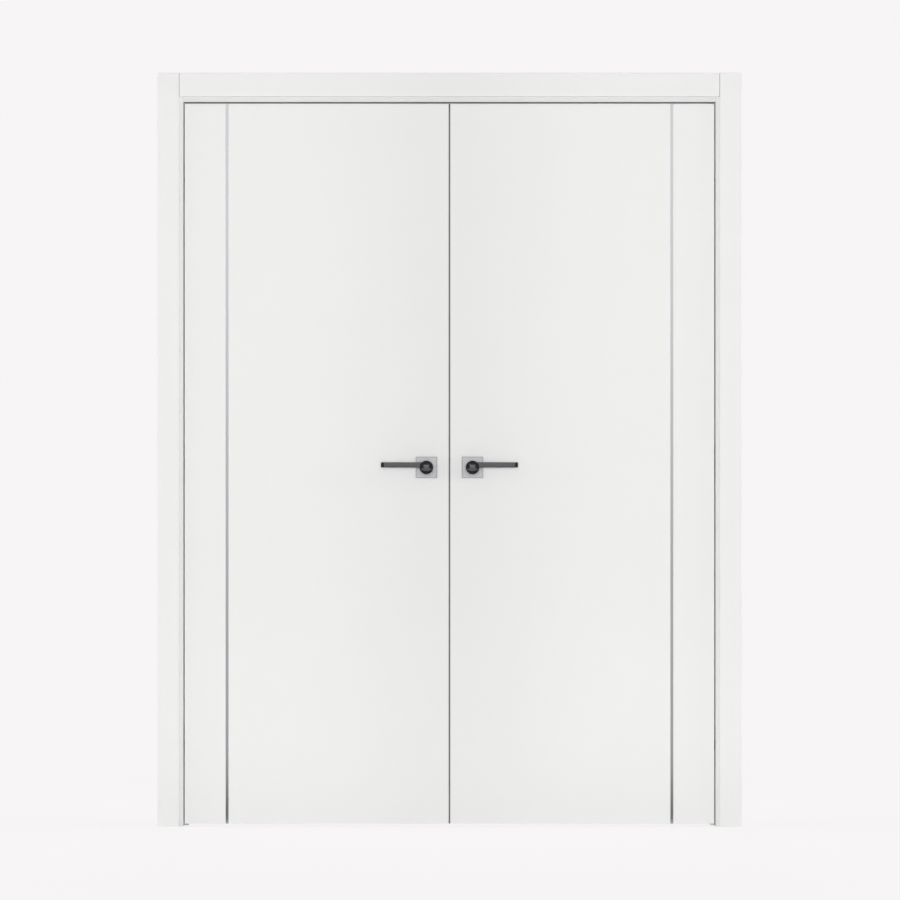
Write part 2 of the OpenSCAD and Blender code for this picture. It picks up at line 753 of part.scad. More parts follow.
module lock_case() color(plated_steel) set_depth() difference() {
    translate([lock_x, leaf_mid - lock_t / 2, lock_low]) cube([lock_d, lock_t, lock_h]);
    translate([lock_x + lock_wall, leaf_mid - lock_t / 2 + lock_wall, lock_low + lock_wall])
        cube([lock_d - 2 * lock_wall, lock_t - 2 * lock_wall, lock_h - 2 * lock_wall]);
    latch_room(lock_x - cut, lock_x + lock_wall + cut);
    at_spindle() rotate([-90, 0, 0]) {
        cylinder(d = follower_d + 2 * running_fit, h = leaf_t);
        for (x = [-rose_bolt_x, rose_bolt_x]) translate([x, 0, 0]) cylinder(d = rose_bolt_head_d, h = leaf_t);
    }
}

module lock_faceplate() color(plated_steel) set_depth() difference() {
    edge_plate(plate_low, plate_h);
    latch_room(leaf_in - cut, leaf_in + plate_t + cut);
}

module lock_follower() color(plated_steel) set_depth() at_spindle() difference() {
    union() {
        translate([0, leaf_mid - lock_t / 2, 0]) rotate([-90, 0, 0]) cylinder(d = follower_d, h = lock_t);
        translate([-follower_cam_w / 2, leaf_mid - follower_cam_w / 2, 0])
            cube([follower_cam_w, follower_cam_w, follower_cam_h]);
    }
    translate([-spindle_w / 2 - joinery_fit, 0, -spindle_w / 2 - joinery_fit])
        cube([spindle_w + 2 * joinery_fit, leaf_t, spindle_w + 2 * joinery_fit]);
}

module latch_bolt() color(plated_steel) set_depth()
    translate([leaf_in + latch_set_back, 0, latch_z - latch_h / 2]) linear_extrude(latch_h) polygon([
        [0, leaf_mid - latch_t / 2 + latch_nose], [latch_nose, leaf_mid - latch_t / 2],
        [latch_len, leaf_mid - latch_t / 2], [latch_len, leaf_mid + latch_t / 2],
        [latch_nose, leaf_mid + latch_t / 2], [0, leaf_mid + latch_t / 2 - latch_nose]
    ]);

// Keep for the latch, drawn on the right and used in the left leaf
module keep_cup(fit) {
    w = latch_t + 2 * sliding_fit + 2 * keep_cup_wall + 2 * fit;
    h = latch_h + 2 * sliding_fit + 2 * keep_cup_wall + 2 * fit;
    translate([leaf_in + plate_t, leaf_mid - w / 2, latch_z - h / 2]) cube([keep_cup_d + fit, w, h]);
}

module keep_mortise() {
    plate_recess(latch_z - keep_plate_h / 2, keep_plate_h);
    keep_cup(joinery_fit);
}

module latch_keep() color(plated_steel) set_depth() on_side(left) difference() {
    union() {
        edge_plate(latch_z - keep_plate_h / 2, keep_plate_h);
        keep_cup(0);
    }
    latch_room(leaf_in - cut, leaf_in + plate_t + keep_cup_d - keep_cup_wall);
}

// Flush bolts in the left leaf, drawn upwards from the end of the leaf at the origin

module bolt_end(end) {
    if (end > 0) translate([0, 0, leaf_top]) children();
    else translate([0, 0, undercut]) mirror([0, 0, 1]) children();
}

// Slot for the thumb piece over its whole travel
module thumb_slot(deep) {
    slot_w = thumb_w + 2 * sliding_fit;
    slot_h = thumb_h + bolt_throw + 2 * sliding_fit;
    translate([leaf_in - cut, leaf_mid - slot_w / 2, -thumb_down - sliding_fit])
        cube([deep + cut, slot_w, slot_h]);
}

module bolt_cuts() {
    plate_recess(bolt_plate_low, bolt_plate_h);
    translate([bolt_x, leaf_mid, -bolt_len - bolt_tip_back - sliding_fit])
        cylinder(d = bolt_bore_d, h = bolt_len + bolt_tip_back + sliding_fit + cut);
    thumb_slot(bolt_in);
}

module bolt_plate(end) color(plated_steel) set_depth() on_side(left) bolt_end(end) difference() {
    edge_plate(bolt_plate_low, bolt_plate_h);
    thumb_slot(plate_t + cut);
}

module flush_bolt(end) color(plated_steel) set_depth() on_side(left) bolt_end(end) {
    translate([bolt_x, leaf_mid, -bolt_len - bolt_tip_back]) cylinder(d = bolt_d, h = bolt_len);
    translate([leaf_in + thumb_back, leaf_mid - thumb_w / 2, -thumb_down])
        cube([bolt_in - thumb_back, thumb_w, thumb_h]);
}

jamb(left);  // left_jamb
jamb(right);  // right_jamb
head_jamb();
side_casing(left, front);  // front_casing_left
side_casing(right, front);  // front_casing_right
head_casing(front);  // front_casing_head
side_casing(left, rear);  // rear_casing_left
side_casing(right, rear);  // rear_casing_right
head_casing(rear);  // rear_casing_head
frame_seal();
head_bolt_keep();
frame_housings(left);  // left_frame_housings
frame_housings(right);  // right_frame_housings
frame_pins(left);  // left_frame_pins
frame_pins(right);  // right_frame_pins
left_slab();
inlay(left, front);  // left_inlay_front
inlay(left, rear);  // left_inlay_rear
leaf_housings(left);  // left_leaf_housings
leaf_pins(left);  // left_leaf_pins
meeting_seal(left);  // left_meeting_seal
latch_keep();
bolt_plate(1);  // upper_bolt_plate
bolt_plate(-1);  // lower_bolt_plate
rose_base(left, front);  // left_rose_base_front
rose_base(left, rear);  // left_rose_base_rear
rose_cover(left, front);  // left_rose_cover_front
rose_cover(left, rear);  // left_rose_cover_rear
rose_springs(left);  // left_rose_springs
rose_bolts(left);  // left_rose_bolts
right_slab();
inlay(right, front);  // right_inlay_front
inlay(right, rear);  // right_inlay_rear
leaf_housings(right);  // right_leaf_housings
leaf_pins(right);  // right_leaf_pins
meeting_seal(right);  // right_meeting_seal
lock_case();
lock_faceplate();
rose_base(right, front);  // right_rose_base_front
rose_base(right, rear);  // right_rose_base_rear
rose_cover(right, front);  // right_rose_cover_front
rose_cover(right, rear);  // right_rose_cover_rear
rose_springs(right);  // right_rose_springs
rose_bolts(right);  // right_rose_bolts
lever(left, front);  // left_lever_front
lever(left, rear);  // left_lever_rear
spindle(left);  // left_spindle
lever(right, front);  // right_lever_front
lever(right, rear);  // right_lever_rear
spindle(right);  // right_spindle
lock_follower();
latch_bolt();
flush_bolt(1);  // upper_flush_bolt
flush_bolt(-1);  // lower_flush_bolt
frame_links(left);  // left_frame_links
centre_pins(left);  // left_centre_pins
leaf_links(left);  // left_leaf_links
frame_links(right);  // right_frame_links
centre_pins(right);  // right_centre_pins
leaf_links(right);  // right_leaf_links
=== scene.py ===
"""Looks of a flush white double door set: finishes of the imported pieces, screws, hub caps, studio, camera.

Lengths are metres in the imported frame: X to the right, Y from the front to the back, Z up.
"""

import json
import math

import bmesh
import bpy
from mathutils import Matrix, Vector


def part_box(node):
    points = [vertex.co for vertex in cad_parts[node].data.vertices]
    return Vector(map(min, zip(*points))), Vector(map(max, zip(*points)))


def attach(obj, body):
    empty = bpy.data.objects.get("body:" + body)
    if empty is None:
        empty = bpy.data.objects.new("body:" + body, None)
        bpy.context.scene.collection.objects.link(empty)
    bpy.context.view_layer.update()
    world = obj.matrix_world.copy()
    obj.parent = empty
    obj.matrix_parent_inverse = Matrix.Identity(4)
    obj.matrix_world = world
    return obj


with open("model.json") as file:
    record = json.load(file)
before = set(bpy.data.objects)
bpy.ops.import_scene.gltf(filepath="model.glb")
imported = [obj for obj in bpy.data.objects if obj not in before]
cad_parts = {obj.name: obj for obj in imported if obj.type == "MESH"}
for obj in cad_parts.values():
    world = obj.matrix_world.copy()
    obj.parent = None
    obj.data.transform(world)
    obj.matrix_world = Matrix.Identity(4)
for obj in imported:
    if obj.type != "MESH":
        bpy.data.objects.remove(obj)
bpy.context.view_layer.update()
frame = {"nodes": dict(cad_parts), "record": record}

MM = 0.001


# Colours and nodes


def linear(colour):
    """An sRGB hex colour as linear red, green, blue and alpha."""
    parts = [int(colour[i : i + 2], 16) / 255 for i in (1, 3, 5)]
    bent = [c / 12.92 if c <= 0.04045 else ((c + 0.055) / 1.055) ** 2.4 for c in parts]
    return (*bent, 1.0)


def add(tree, kind, links=None, **settings):
    """Adds a node with its settings. A link's value is the socket it comes from, or a plain value."""
    node = tree.nodes.new(kind)
    for name, value in settings.items():
        setattr(node, name, value)
    for socket, value in (links or {}).items():
        if isinstance(value, bpy.types.NodeSocket):
            tree.links.new(value, node.inputs[socket])
        else:
            node.inputs[socket].default_value = value
    return node


def new_finish(name):
    """An empty material, its node tree and the place of each point on Object coordinates."""
    finish = bpy.data.materials.new(name)
    finish.use_nodes = True
    tree = finish.node_tree
    tree.nodes.clear()
    return finish, tree, add(tree, "ShaderNodeTexCoord").outputs["Object"]


def close(tree, shader):
    """Links a shader to the tree's output."""
    add(tree, "ShaderNodeOutputMaterial", {"Surface": shader.outputs[0]})


# Finishes


def satin_lacquer(name, pale, deep):
    """Lacquer sprayed on MDF: an even satin sheen, a faint orange peel, hardly a change of tone."""
    finish, tree, place = new_finish(name)
    # Spray passes overlap about every 300 mm
    spray_pass = 300 * MM
    passes = add(tree, "ShaderNodeTexNoise", {"Vector": place, "Scale": 1 / spray_pass, "Detail": 2.0})
    tone = add(tree, "ShaderNodeMix",
               {"Factor": passes.outputs[0], 6: linear(pale), 7: linear(deep)}, data_type="RGBA")
    # The sheen wanders over patches of about 80 mm
    sheen_patch = 80 * MM
    patches = add(tree, "ShaderNodeTexNoise", {"Vector": place, "Scale": 1 / sheen_patch, "Detail": 3.0})
    sheen = add(tree, "ShaderNodeMapRange",
                {"Value": patches.outputs[0], "To Min": 0.34, "To Max": 0.44})
    # Orange peel of a sprayed coat is 2 to 4 mm wide; it is drawn at 5 mm to show in close views
    peel_width = 5 * MM
    peel = add(tree, "ShaderNodeTexNoise", {"Vector": place, "Scale": 1 / peel_width, "Detail": 1.0})
    relief = add(tree, "ShaderNodeBump",
                 {"Height": peel.outputs[0], "Strength": 0.25, "Distance": 0.05 * MM})
    close(tree, add(tree, "ShaderNodeBsdfPrincipled",
                    {"Base Color": tone.outputs[2], "Roughness": sheen.outputs[0],
                     "Normal": relief.outputs[0], "IOR": 1.5}))
    return finish


def brushed_metal(name, pale, deep, roughness, along, line, length, relief):
    """Metal brushed along one axis: fine lines of two close tones, which stretch the highlight."""
    finish, tree, place = new_finish(name)
    scale = [1 / line] * 3
    scale["XYZ".index(along)] = 1 / length
    lines = add(tree, "ShaderNodeMapping", {"Vector": place, "Scale": scale})
    grain = add(tree, "ShaderNodeTexNoise", {"Vector": lines.outputs[0], "Scale": 1.0, "Detail": 3.0})
    tone = add(tree, "ShaderNodeMix", {"Factor": grain.outputs[0], 6: linear(deep), 7: linear(pale)},
               data_type="RGBA")
    dull = add(tree, "ShaderNodeMapRange", {"Value": grain.outputs[0], "To Min": roughness - 0.06,
                                            "To Max": roughness + 0.06})
    bump = add(tree, "ShaderNodeBump", {"Height": grain.outputs[0], "Strength": 0.3, "Distance": relief})
    close(tree, add(tree, "ShaderNodeBsdfPrincipled",
                    {"Base Color": tone.outputs[2], "Metallic": 1.0, "Roughness": dull.outputs[0],
                     "Normal": bump.outputs[0]}))
    return finish


def dark_chrome():
    """Dark chrome plate on polished zinc: a deep mirror with a few hairlines from handling."""
    finish, tree, place = new_finish("dark_chrome_plate")
    # Hairlines are far thinner; they are drawn 0.6 mm wide and 40 mm long to show in close views
    hair_length = 40 * MM
    hair_width = 0.6 * MM
    lines = add(tree, "ShaderNodeMapping",
                {"Vector": place, "Scale": (1 / hair_length, 1 / hair_width, 1 / hair_width)})
    hairs = add(tree, "ShaderNodeTexNoise", {"Vector": lines.outputs[0], "Scale": 1.0, "Detail": 4.0})
    dull = add(tree, "ShaderNodeMapRange", {"Value": hairs.outputs[0], "From Min": 0.45, "From Max": 0.75,
                                            "To Min": 0.1, "To Max": 0.18})
    # Haze from polishing shifts over about 25 mm
    haze_width = 25 * MM
    haze = add(tree, "ShaderNodeTexNoise", {"Vector": place, "Scale": 1 / haze_width, "Detail": 2.0})
    tone = add(tree, "ShaderNodeMix",
               {"Factor": haze.outputs[0], 6: linear("#565759"), 7: linear("#5E5F61")}, data_type="RGBA")
    close(tree, add(tree, "ShaderNodeBsdfPrincipled",
                    {"Base Color": tone.outputs[2], "Metallic": 1.0, "Roughness": dull.outputs[0]}))
    return finish


def cast_zinc(name, pale, deep, roughness):
    """Die-cast zinc under a thin plate: a dull grey with a fine cast grain."""
    finish, tree, place = new_finish(name)
    # Cast grain is about 0.8 mm across, and the plate clouds over about 12 mm
    grain_width = 0.8 * MM
    cloud_width = 12 * MM
    grain = add(tree, "ShaderNodeTexNoise", {"Vector": place, "Scale": 1 / grain_width, "Detail": 3.0})
    clouds = add(tree, "ShaderNodeTexNoise", {"Vector": place, "Scale": 1 / cloud_width, "Detail": 3.0})
    tone = add(tree, "ShaderNodeMix", {"Factor": clouds.outputs[0], 6: linear(deep), 7: linear(pale)},
               data_type="RGBA")
    dull = add(tree, "ShaderNodeMapRange", {"Value": clouds.outputs[0], "To Min": roughness - 0.08,
                                            "To Max": roughness + 0.08})
    bump = add(tree, "ShaderNodeBump", {"Height": grain.outputs[0], "Strength": 0.3, "Distance": 0.06 * MM})
    close(tree, add(tree, "ShaderNodeBsdfPrincipled",
                    {"Base Color": tone.outputs[2], "Metallic": 1.0, "Roughness": dull.outputs[0],
                     "Normal": bump.outputs[0]}))
    return finish


def soft_seal(name, pale, deep):
    """Extruded soft rubber: matt, with faint lines along the strip and a little dust."""
    finish, tree, place = new_finish(name)
    # Extrusion lines lie 1 mm apart and run on for about 400 mm
    line_gap = 1 * MM
    line_length = 400 * MM
    lines = add(tree, "ShaderNodeMapping",
                {"Vector": place, "Scale": (1 / line_gap, 1 / line_gap, 1 / line_length)})
    draw = add(tree, "ShaderNodeTexNoise", {"Vector": lines.outputs[0], "Scale": 1.0, "Detail": 2.0})
    # Dust gathers in patches of about 30 mm
    dust_width = 30 * MM
    dust = add(tree, "ShaderNodeTexNoise", {"Vector": place, "Scale": 1 / dust_width, "Detail": 4.0})
    tone = add(tree, "ShaderNodeMix",
               {"Factor": dust.outputs[0], 6: linear(deep), 7: linear(pale)}, data_type="RGBA")
    bump = add(tree, "ShaderNodeBump", {"Height": draw.outputs[0], "Strength": 0.4, "Distance": 0.1 * MM})
    close(tree, add(tree, "ShaderNodeBsdfPrincipled",
                    {"Base Color": tone.outputs[2], "Roughness": 0.75, "Normal": bump.outputs[0]}))
    return finish


FINISHES = {
    "white_lacquer": satin_lacquer("satin_white_lacquer", "#F2F2F1", "#F0F0EF"),
    # Anodised strip, drawn through a brush along its length
    "inlay_aluminium": brushed_metal("brushed_aluminium", "#AAABAD", "#9E9FA1", 0.22, "Z",
                                     0.4 * MM, 90 * MM, 0.03 * MM),
    "lever_chrome": dark_chrome(),
    # Rose covers are brushed level, then plated
    "rose_chrome": brushed_metal("satin_chrome_plate", "#B2B3B5", "#A8A9AB", 0.28, "X",
                                 0.3 * MM, 30 * MM, 0.02 * MM),
    "hinge_zinc": cast_zinc("plated_cast_zinc", "#B9B9B8", "#A9A9A8", 0.36),
    "rose_zinc": cast_zinc("raw_cast_zinc", "#939391", "#82827F", 0.5),
    # Rolled plate, ground along its length before nickel plating
    "plated_steel": brushed_metal("nickel_plated_steel", "#C3C2BE", "#B1B0AB", 0.26, "Z",
                                  0.35 * MM, 40 * MM, 0.02 * MM),
    "seal_rubber": soft_seal("pale_seal_rubber", "#EFEFEC", "#E6E6E3"),
    "fin_rubber": soft_seal("dark_seal_rubber", "#222221", "#1B1B1A"),
}

# The lacquer of the jambs is painted a little greyer than that of the leaves and casings: painted shade for
# the shade that the casings cast on the jamb edges beside the leaves
JAMBS = ("left_jamb", "right_jamb", "head_jamb")
JAMB_LACQUER_PAINTED_SHADE = satin_lacquer("satin_jamb_lacquer_painted_shade", "#E4E4E3", "#E2E2E1")

for subpart in frame["record"]["subparts"]:
    node = subpart["node"]
    # The jambs take the greyer lacquer, whose grey is painted shade
    finish = JAMB_LACQUER_PAINTED_SHADE if node in JAMBS else FINISHES[subpart["material_slot"]]
    for slot in frame["nodes"][node].material_slots:
        slot.material = finish


# Screws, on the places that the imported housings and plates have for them

HINGE_HALF = 60 * MM
HINGE_SCREWS = (-49 * MM, -34 * MM, 34 * MM, 49 * MM)
PLATE_SCREW_END = 13 * MM
BOLT_KEEP_SCREW = 15 * MM
SCREW_SIDES = 24
SCREW_SEED = 7


def screw_tree():
    """Countersunk screws with a cross recess, one on each point, facing along the point's own direction."""
    tree = bpy.data.node_groups.new("countersunk_screws", "GeometryNodeTree")
    sockets = tree.interface
    sockets.new_socket("Points", in_out="INPUT", socket_type="NodeSocketGeometry")
    for name, size in (("Head radius", 3.95 * MM), ("Shank radius", 2 * MM), ("Head depth", 1.95 * MM),
                       ("Recess length", 4.2 * MM), ("Recess width", 1.1 * MM), ("Recess depth", 1.2 * MM)):
        socket = sockets.new_socket(name, in_out="INPUT", socket_type="NodeSocketFloat")
        socket.default_value = size
    sockets.new_socket("Finish", in_out="INPUT", socket_type="NodeSocketMaterial")
    sockets.new_socket("Screws", in_out="OUTPUT", socket_type="NodeSocketGeometry")
    given = add(tree, "NodeGroupInput").outputs

    # The head's face lies on the point's own plane, its cone below
    cone = add(tree, "GeometryNodeMeshCone",
               {"Vertices": SCREW_SIDES, "Radius Top": given["Head radius"],
                "Radius Bottom": given["Shank radius"], "Depth": given["Head depth"]})
    sunk = add(tree, "ShaderNodeMath", {0: given["Head depth"], 1: -1.0}, operation="MULTIPLY")
    down = add(tree, "ShaderNodeCombineXYZ", {"Z": sunk.outputs[0]})
    head = add(tree, "GeometryNodeTransform",
               {"Geometry": cone.outputs["Mesh"], "Translation": down.outputs[0]})

    # Two crossed bars, sunk to the recess depth, are cut out of the head
    deep = add(tree, "ShaderNodeMath", {0: given["Recess depth"], 1: 2.0}, operation="MULTIPLY")
    cutters = []
    for across, along in (("Recess length", "Recess width"), ("Recess width", "Recess length")):
        size = add(tree, "ShaderNodeCombineXYZ",
                   {"X": given[across], "Y": given[along], "Z": deep.outputs[0]})
        cutters.append(add(tree, "GeometryNodeMeshCube", {"Size": size.outputs[0]}).outputs["Mesh"])
    cut = add(tree, "GeometryNodeMeshBoolean", {"Mesh 1": head.outputs[0]}, operation="DIFFERENCE")
    for cutter in cutters:
        tree.links.new(cutter, cut.inputs["Mesh 2"])

    facing = add(tree, "GeometryNodeInputNamedAttribute", {"Name": "facing"}, data_type="FLOAT_VECTOR")
    upright = add(tree, "FunctionNodeAlignRotationToVector",
                  {"Vector": facing.outputs["Attribute"]}, axis="Z")
    # Each recess stops at an angle of its own
    turn = add(tree, "FunctionNodeRandomValue", {2: 0.0, 3: math.pi / 2, "Seed": SCREW_SEED},
               data_type="FLOAT")
    spin = add(tree, "FunctionNodeAxisAngleToRotation", {"Axis": (0, 0, 1), "Angle": turn.outputs[1]})
    both = add(tree, "FunctionNodeRotateRotation",
               {"Rotation": upright.outputs[0], "Rotate By": spin.outputs[0]}, rotation_space="LOCAL")
    placed = add(tree, "GeometryNodeInstanceOnPoints",
                 {"Points": given["Points"], "Instance": cut.outputs["Mesh"], "Rotation": both.outputs[0]})
    real = add(tree, "GeometryNodeRealizeInstances", {"Geometry": placed.outputs[0]})
    finished = add(tree, "GeometryNodeSetMaterial",
                   {"Geometry": real.outputs[0], "Material": given["Finish"]})
    add(tree, "NodeGroupOutput", {"Screws": finished.outputs[0]})
    return tree


def hinge_points(node, facing):
    """The four screws of each of the three housings in a node, on the face that looks along X."""
    low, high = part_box(node)
    x = high.x if facing > 0 else low.x
    y = (low.y + high.y) / 2
    middles = (low.z + HINGE_HALF, (low.z + high.z) / 2, high.z - HINGE_HALF)
    return [((x, y, z + step), (facing, 0, 0)) for z in middles for step in HINGE_SCREWS]


def plate_points(node, facing):
    """The two screws of an edge plate, on the face that looks along X."""
    low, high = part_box(node)
    x = high.x if facing > 0 else low.x
    y = (low.y + high.y) / 2
    return [((x, y, z), (facing, 0, 0)) for z in (low.z + PLATE_SCREW_END, high.z - PLATE_SCREW_END)]


def bolt_keep_points():
    """The two screws of the upper bolt's keep, which look down."""
    low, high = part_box("head_bolt_keep")
    x, y = (low.x + high.x) / 2, (low.y + high.y) / 2
    return [((x + step, y, low.z), (0, 0, -1)) for step in (-BOLT_KEEP_SCREW, BOLT_KEEP_SCREW)]


def screws(name, body, points, tree):
    """Makes the screws of one body as a plain mesh that rides on it."""
    marks = bpy.data.meshes.new(name + "_marks")
    marks.from_pydata([place for place, facing in points], [], [])
    facing = marks.attributes.new("facing", "FLOAT_VECTOR", "POINT")
    facing.data.foreach_set("vector", [c for place, direction in points for c in direction])
    maker = bpy.data.objects.new(name + "_maker", marks)
    bpy.context.scene.collection.objects.link(maker)
    modifier = maker.modifiers.new("screws", "NODES")
    modifier.node_group = tree
    for item in tree.interface.items_tree:
        if item.name == "Finish":
            modifier[item.identifier] = FINISHES["plated_steel"]
    evaluated = maker.evaluated_get(bpy.context.evaluated_depsgraph_get())
    mesh = bpy.data.meshes.new_from_object(evaluated)
    bpy.data.objects.remove(maker)
    mesh.name = name
    piece = bpy.data.objects.new(name, mesh)
    bpy.context.scene.collection.objects.link(piece)
    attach(piece, body)


SCREW_TREE = screw_tree()
screws("frame_screws", "frame",
       hinge_points("left_frame_housings", 1) + hinge_points("right_frame_housings", -1)
       + bolt_keep_points(), SCREW_TREE)
screws("left_leaf_screws", "left_leaf",
       hinge_points("left_leaf_housings", -1) + plate_points("latch_keep", 1)
       + plate_points("upper_bolt_plate", 1) + plate_points("lower_bolt_plate", 1), SCREW_TREE)
screws("right_leaf_screws", "right_leaf",
       hinge_points("right_leaf_housings", 1) + plate_points("lock_faceplate", -1), SCREW_TREE)


# Hub caps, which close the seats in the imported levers

HUB_RADIUS = 19 * MM
CAP_RADIUS = 7 * MM
CAP_SEAT = 1 * MM
CAP_EDGE = 0.5 * MM
CAP_FLAT = 0.75
CAP_RINGS = 6
CAP_SEGMENTS = 64


def cap_outline():
    """Half section of a cap as radius and height above its seat: a wall, a round edge and a flat top."""
    wall = CAP_SEAT - CAP_EDGE
    outline = [(CAP_RADIUS, 0.0)]
    for number in range(CAP_RINGS + 1):
        turn = number / CAP_RINGS * math.pi / 2
        radius = CAP_RADIUS * (CAP_FLAT + (1 - CAP_FLAT) * math.cos(turn))
        outline.append((radius, wall + CAP_EDGE * math.sin(turn)))
    return outline


def hub_cap(mesh, centre, facing):
    """Turns one cap on the hub's axis, which looks along Y, with its seat at the centre."""
    turns = [2 * math.pi * n / CAP_SEGMENTS for n in range(CAP_SEGMENTS)]
    rings = []
    for radius, height in cap_outline():
        y = centre.y + facing * height
        rings.append([mesh.verts.new((centre.x + radius * math.cos(a), y, centre.z + radius * math.sin(a)))
                      for a in turns])
    for inner, outer in zip(rings[1:], rings):
        for n in range(CAP_SEGMENTS):
            after = (n + 1) % CAP_SEGMENTS
            mesh.faces.new((outer[n], outer[after], inner[after], inner[n]))
    for edge, height in ((rings[0], 0.0), (rings[-1], CAP_SEAT)):
        middle = mesh.verts.new((centre.x, centre.y + facing * height, centre.z))
        for n in range(CAP_SEGMENTS):
            mesh.faces.new((edge[n], edge[(n + 1) % CAP_SEGMENTS], middle))


def hub_caps(side, turn):
    """The two caps that close the seats in the hubs of one pair of levers."""
    mesh = bmesh.new()
    for face, facing in (("front", -1), ("rear", 1)):
        low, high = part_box(f"{side}_lever_{face}")
        x = low.x + HUB_RADIUS if turn > 0 else high.x - HUB_RADIUS
        y = low.y + CAP_SEAT if facing < 0 else high.y - CAP_SEAT
        hub_cap(mesh, Vector((x, y, (low.z + high.z) / 2)), facing)
    bmesh.ops.recalc_face_normals(mesh, faces=mesh.faces)
    data = bpy.data.meshes.new(f"{side}_hub_caps")
    mesh.to_mesh(data)
    mesh.free()
    for polygon in data.polygons:
        polygon.use_smooth = True
    data.materials.append(FINISHES["lever_chrome"])
    piece = bpy.data.objects.new(f"{side}_hub_caps", data)
    bpy.context.scene.collection.objects.link(piece)
    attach(piece, f"{side}_lever")


hub_caps("left", -1)
hub_caps("right", 1)


# Studio

PAPER = linear("#F7F5F6")
FLOOR_HALF = 40.0
FLOOR_DROP = 0.2 * MM
FLOOR_GAIN = 1.3
SHADOW_SHARE = 0.12
SHADOW_NEAR = 0.8
SHADOW_FAR = 3.0


def seen_directly(tree):
    """One for rays that show the background itself: from the camera, in gloss or through glass."""
    path = add(tree, "ShaderNodeLightPath").outputs
    mirrored = add(tree, "ShaderNodeMath", {0: path["Is Camera Ray"], 1: path["Is Glossy Ray"]},
                   operation="MAXIMUM")
    return add(tree, "ShaderNodeMath", {0: mirrored.outputs[0], 1: path["Is Transmission Ray"]},
               operation="MAXIMUM").outputs[0]


def paper_floor():
    """Matt paper: it bounces a little light, and shows the backdrop's tone with the object's shadow."""
    finish, tree, place = new_finish("studio_paper")
    lit = add(tree, "ShaderNodeBsdfDiffuse", {"Color": linear("#BEBDBE")})
    # The shown floor is raised to the backdrop's tone where no shadow falls on it
    raised = add(tree, "ShaderNodeBsdfDiffuse", {"Color": [c * FLOOR_GAIN for c in PAPER[:3]] + [1.0]})
    plain = add(tree, "ShaderNodeEmission", {"Color": PAPER, "Strength": 1.0})
    # The shadow is kept near the object and fades into the plain backdrop further out
    reach = add(tree, "ShaderNodeVectorMath", {0: place}, operation="LENGTH")
    share = add(tree, "ShaderNodeMapRange",
                {"Value": reach.outputs["Value"], "From Min": SHADOW_NEAR, "From Max": SHADOW_FAR,
                 "To Min": SHADOW_SHARE, "To Max": 0.0}, interpolation_type="SMOOTHSTEP")
    shown = add(tree, "ShaderNodeMixShader",
                {0: share.outputs[0], 1: plain.outputs[0], 2: raised.outputs[0]})
    close(tree, add(tree, "ShaderNodeMixShader",
                    {0: seen_directly(tree), 1: lit.outputs[0], 2: shown.outputs[0]}))
    return finish


def backdrop(fill):
    """A world that shows the paper's tone and lights the object with an even fill."""
    world = bpy.data.worlds.new("studio")
    world.use_nodes = True
    tree = world.node_tree
    tree.nodes.clear()
    lit = add(tree, "ShaderNodeBackground", {"Color": linear("#FFFFFF"), "Strength": fill})
    shown = add(tree, "ShaderNodeBackground", {"Color": PAPER, "Strength": 1.0})
    mixed = add(tree, "ShaderNodeMixShader",
                {0: seen_directly(tree), 1: lit.outputs[0], 2: shown.outputs[0]})
    add(tree, "ShaderNodeOutputWorld", {"Surface": mixed.outputs[0]})
    bpy.context.scene.world = world


def softbox(name, place, aim, size, brightness, spread=180):
    """A rectangular lamp that the camera doesn't see. At brightness 1 a mirror shows it as white."""
    lamp = bpy.data.lights.new(name, "AREA")
    lamp.shape = "RECTANGLE"
    lamp.size, lamp.size_y = size
    lamp.energy = brightness * math.pi * size[0] * size[1]
    lamp.spread = math.radians(spread)
    holder = bpy.data.objects.new(name, lamp)
    holder.location = place
    holder.rotation_euler = (Vector(aim) - Vector(place)).to_track_quat("-Z", "Y").to_euler()
    holder.visible_camera = False
    bpy.context.scene.collection.objects.link(holder)
    return holder


def flag_cloth():
    """Grey felt: it gives back little light."""
    finish, tree, place = new_finish("grey_felt")
    close(tree, add(tree, "ShaderNodeBsdfDiffuse", {"Color": linear("#8C8C8C")}))
    return finish


def card(name, corners, finish):
    """A flat studio card of four corners, which isn't part of the object."""
    mesh = bpy.data.meshes.new(name)
    mesh.from_pydata(corners, [], [(0, 1, 2, 3)])
    mesh.materials.append(finish)
    piece = bpy.data.objects.new(name, mesh)
    bpy.context.scene.collection.objects.link(piece)
    return piece


def flag(name, corners):
    """A grey card that only gloss sees, to give polished metal dark edges as in a product studio."""
    piece = card(name, corners, FLAG_CLOTH)
    piece.visible_camera = False
    piece.visible_diffuse = False
    piece.visible_shadow = False
    piece.visible_transmission = False


def level_corners(half, near, far):
    """Corners of a rectangle that runs from near to far and to both sides by half, for a level card."""
    return [(-half, near), (half, near), (half, far), (-half, far)]


FLAG_CLOTH = flag_cloth()
FLAG_NEAR = 0.1
FLAG_FAR = 5.0
FLAG_SIDE = 3.2
FLAG_TOP = 4.2
FLAG_LOW = 0.01
FLAG_LOW_FAR = 1.2

# Lamps on each face: how far off and how high they stand, their width and height, and brightness
FACE_Z = 1.1
KEY_Y = 9.0
KEY_Z = 1.2
KEY_SIZE = (2.2, 2.2)
KEY_BRIGHTNESS = 26.0
SCRIM_Y = 13.0
SCRIM_Z = 5.1
SCRIM_AIM_Z = 2.0
SCRIM_SIZE = (16.0, 8.0)
SCRIM_BRIGHTNESS = 0.9
FOOT_Y = 1.4
FOOT_Z = 0.2
FOOT_SIZE = (2.6, 0.4)
FOOT_BRIGHTNESS = 0.11
FOOT_SPREAD = 70
WASH_X = 0.8
WASH_Y = 3.0
WASH_Z = 1.12
WASH_SIZE = (1.2, 2.3)
WASH_BRIGHTNESS = 0.065
WASH_SPREAD = 13

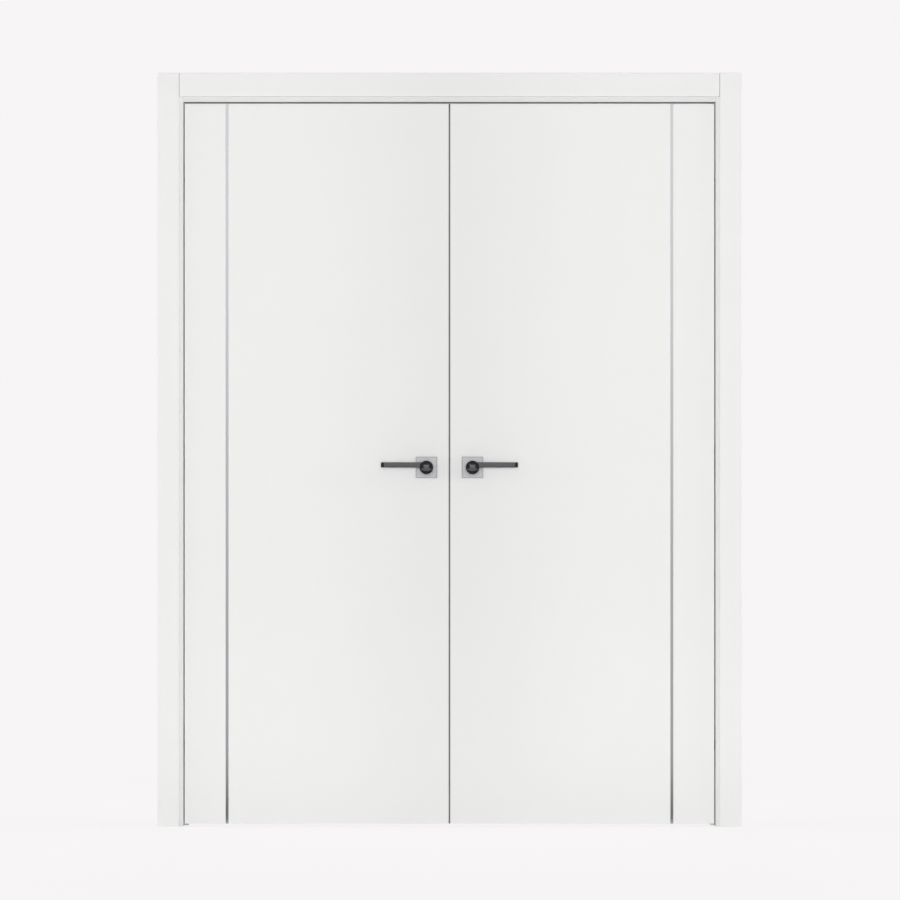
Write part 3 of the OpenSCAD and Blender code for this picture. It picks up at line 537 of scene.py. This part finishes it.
# Lamps in the plane of the wall, and the even fill
EDGE_BOX_SIZE = (4.0, 1.2)
EDGE_BOXES = (
    ("left_box", (-6.0, 0, 1.6), 9.0),
    ("right_box", (6.0, 0, 1.6), 9.0),
    ("top_box", (0, 0, 7.5), 4.0),
)
EVEN_FILL = 0.3

floor_corners = [(x, y, -FLOOR_DROP) for x, y in level_corners(FLOOR_HALF, -FLOOR_HALF, FLOOR_HALF)]
card("studio_floor", floor_corners, paper_floor())
backdrop(EVEN_FILL)
for name, place, brightness in EDGE_BOXES:
    # Boxes in the plane of the wall light the edges and the open leaves, and only graze the faces
    edge_box = softbox(name, place, (0, 0, FACE_Z), EDGE_BOX_SIZE, brightness)
    edge_box.visible_glossy = False
for face, away in (("front", -1), ("rear", 1)):
    # A key square on to each face keeps the shadows of the handles behind them
    key = softbox(f"{face}_key", (0, away * KEY_Y, KEY_Z), (0, 0, FACE_Z), KEY_SIZE, KEY_BRIGHTNESS)
    key.visible_glossy = False
    # A wide scrim far off shows in the metal only
    scrim = softbox(f"{face}_scrim", (0, away * SCRIM_Y, SCRIM_Z), (0, 0, SCRIM_AIM_Z), SCRIM_SIZE,
                    SCRIM_BRIGHTNESS)
    scrim.visible_diffuse = False
    # Narrow beams level the light over the leaves and down to the foot
    foot = softbox(f"{face}_foot_fill", (0, away * FOOT_Y, FOOT_Z), (0, 0, 0), FOOT_SIZE, FOOT_BRIGHTNESS,
                   FOOT_SPREAD)
    foot.visible_glossy = False
    for side, turn in (("left", -1), ("right", 1)):
        x = turn * WASH_X
        wash = softbox(f"{face}_{side}_wash", (x, away * WASH_Y, WASH_Z), (x, 0, WASH_Z), WASH_SIZE,
                       WASH_BRIGHTNESS, WASH_SPREAD)
        wash.visible_glossy = False
        upright = [(FLAG_NEAR, 0), (FLAG_FAR, 0), (FLAG_FAR, FLAG_TOP), (FLAG_NEAR, FLAG_TOP)]
        flag(f"{face}_{side}_flag", [(turn * FLAG_SIDE, away * y, z) for y, z in upright])
    top = level_corners(FLAG_SIDE, FLAG_NEAR, FLAG_FAR)
    flag(f"{face}_top_flag", [(x, away * y, FLAG_TOP) for x, y in top])
    low = level_corners(FLAG_SIDE, FLAG_NEAR, FLAG_LOW_FAR)
    flag(f"{face}_low_flag", [(x, away * y, FLAG_LOW) for x, y in low])


# Camera, square on as in the photograph, with a long lens

# Width of the picture at the leaves' front face
PICTURE_WIDTH = 2.5416
LEAF_FACE_Y = -27 * MM
DISTANCE = 12.0
CAMERA_X = 1.5 * MM
CAMERA_Z = 1063 * MM
SENSOR = 36.0

camera_data = bpy.data.cameras.new("camera")
camera_data.sensor_width = SENSOR
camera_data.lens = SENSOR * DISTANCE / PICTURE_WIDTH
camera = bpy.data.objects.new("camera", camera_data)
camera.location = (CAMERA_X, LEAF_FACE_Y - DISTANCE, CAMERA_Z)
camera.rotation_euler = (math.radians(90), 0, 0)
bpy.context.scene.collection.objects.link(camera)
bpy.context.scene.camera = camera

bpy.context.scene.view_settings.view_transform = "Standard"
